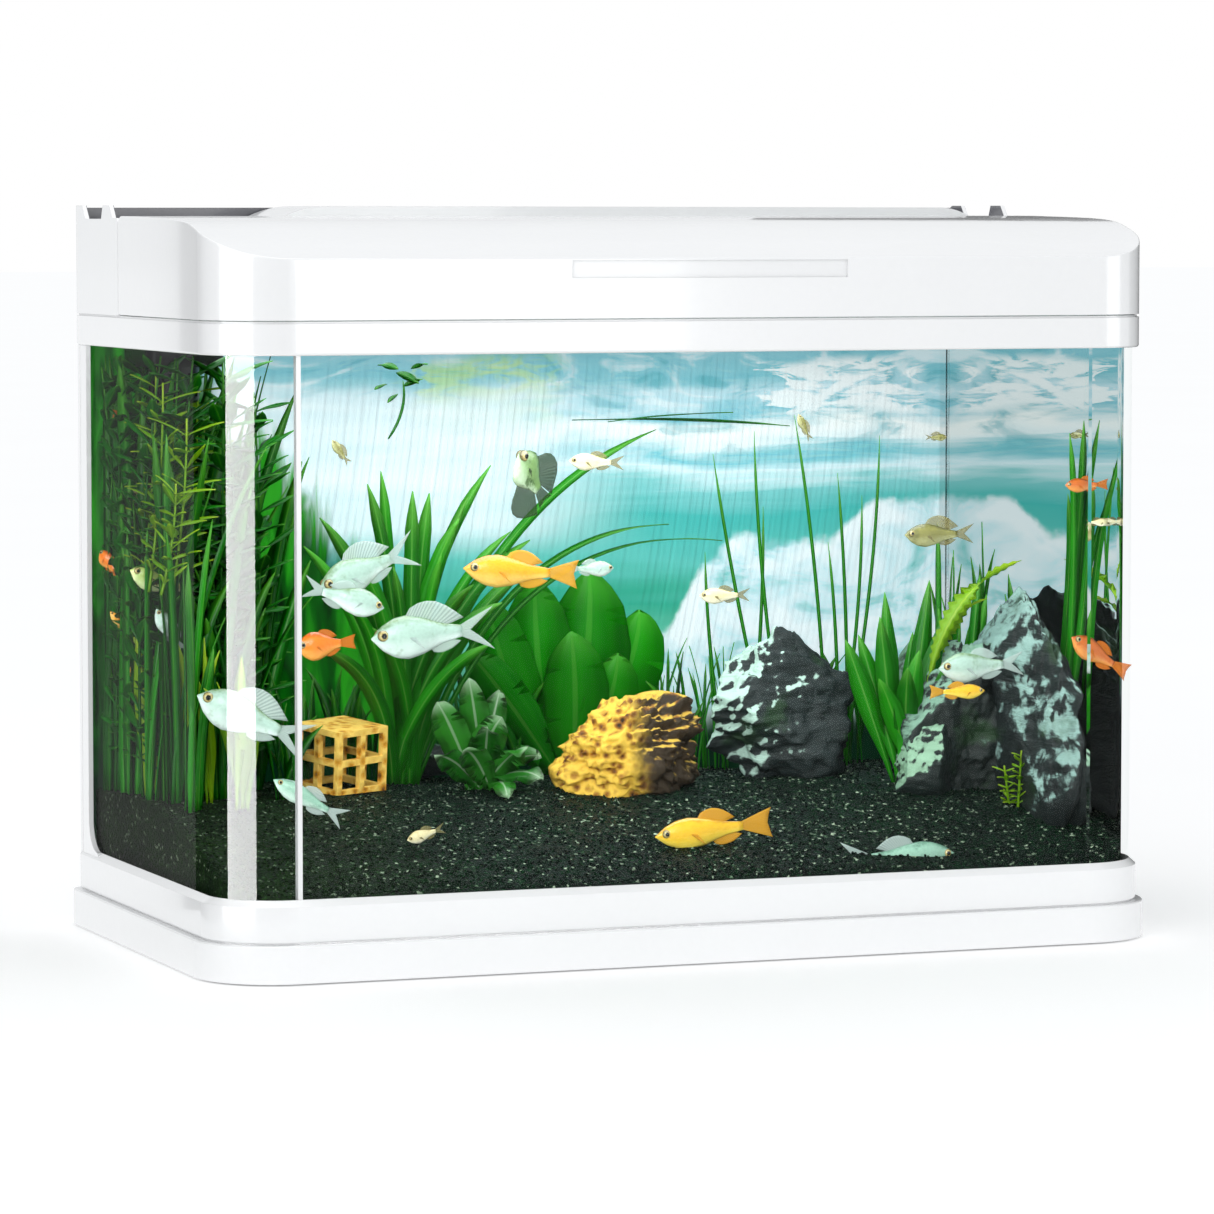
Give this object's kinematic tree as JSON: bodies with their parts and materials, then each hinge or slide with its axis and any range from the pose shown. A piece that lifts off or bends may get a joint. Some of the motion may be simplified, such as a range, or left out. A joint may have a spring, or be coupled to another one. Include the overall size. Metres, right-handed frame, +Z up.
{
  "type": "aquarium on stand",
  "caption": "Curved-front glass aquarium on a low plinth, planted and stocked, with a flip-up hood light and a trickle filter under a lift-off cover.",
  "frame": {"origin": "centre of the footprint on the floor", "axes": "+X along the width, to the right seen from the front; +Y from front to back; +Z up"},
  "size_m": [0.5072, 0.2672, 0.3754],
  "materials": {
    "white_shell": "glossy white moulded plastic",
    "foot_rubber": "matt black rubber",
    "mat_foam": "soft black foam",
    "clear_glass": "clear float glass",
    "clear_silicone": "clear silicone",
    "joint_white": "white joint strip",
    "print_film": "printed background film",
    "gravel": "dark gravel with pale specks",
    "stone_grey": "dark slate-like stone with pale faces",
    "stone_ochre": "yellow-brown crumbly stone",
    "ornament": "yellow-brown resin",
    "lamp_metal": "satin anodised",
    "board": "white circuit board",
    "led": "LED phosphor",
    "clear_acrylic": "clear acrylic",
    "steel": "stainless steel",
    "black_plastic": "black moulded plastic",
    "grey_plastic": "grey moulded plastic",
    "sponge": "blue open-cell foam",
    "fleece": "white filter fleece",
    "ceramic": "unglazed ceramic"
  },
  "bodies": {
    "tank": {"stand_plinth": "white_shell", "base_plate": "grey_plastic", "base_screws": "steel", "foot_pads": "foot_rubber", "levelling_mat": "mat_foam", "bottom_frame": "white_shell", "floor_glass": "clear_glass", "front_glass": "clear_glass", "left_side_glass": "clear_glass", "right_side_glass": "clear_glass", "rear_glass": "clear_glass", "front_seam_left": "joint_white", "front_seam_right": "clear_silicone", "floor_seal": "clear_silicone", "rear_seals": "clear_silicone", "rear_post_left": "white_shell", "rear_post_right": "white_shell", "top_frame": "white_shell", "background_film": "print_film", "gravel_bed": "gravel", "rock_centre": "stone_grey", "rock_left": "stone_grey", "rock_right_back": "stone_grey", "rock_right_front": "stone_grey", "crumbly_stone": "stone_ochre", "shelter_cube": "ornament"},
    "hood": {"rear_housing": "white_shell", "spray_bar": "grey_plastic", "riser_pipe": "grey_plastic", "pump_body": "black_plastic", "pump_cover": "black_plastic", "intake_strainer": "black_plastic", "impeller_shaft": "ceramic"},
    "lid": {"lid_shell": "white_shell", "hinge_pins": "steel", "light_housing": "lamp_metal", "led_board": "board", "led_chips": "led", "light_lens": "clear_acrylic", "light_screws": "steel"},
    "filter_cover_body": {"filter_cover": "white_shell"},
    "filter_tray_body": {"filter_tray": "grey_plastic", "filter_sponge": "sponge", "filter_fleece": "fleece", "ceramic_rings": "ceramic"},
    "impeller_body": {"impeller": "grey_plastic"},
    "flow_knob_body": {"flow_knob": "black_plastic"}
  },
  "joints": [
    {"name": "hood_lift", "type": "slide", "parent": "tank", "child": "hood", "axis": [0, 0, 1], "range_m": [0, 0.12]},
    {"name": "lid_hinge", "type": "hinge", "parent": "hood", "child": "lid", "pos_m": [0, 0.0423, 0.365], "axis": [-1, 0, 0], "range_deg": [0, 85]},
    {"name": "cover_lift", "type": "slide", "parent": "hood", "child": "filter_cover_body", "axis": [0, 0, 1], "range_m": [0, 0.12]},
    {"name": "tray_lift", "type": "slide", "parent": "hood", "child": "filter_tray_body", "axis": [0, 0, 1], "range_m": [0, 0.06]},
    {"name": "impeller_spin", "type": "hinge", "parent": "hood", "child": "impeller_body", "pos_m": [-0.21, 0.084, 0.305], "axis": [0, 0, 1], "continuous": true},
    {"name": "flow_knob_turn", "type": "hinge", "parent": "hood", "child": "flow_knob_body", "pos_m": [-0.226, 0.074, 0.33], "axis": [0, 0, 1], "range_deg": [0, 90]}
  ],
  "couplings": [
    {"joint": "tray_lift", "follows": "cover_lift", "ratio": 0.5}
  ]
}
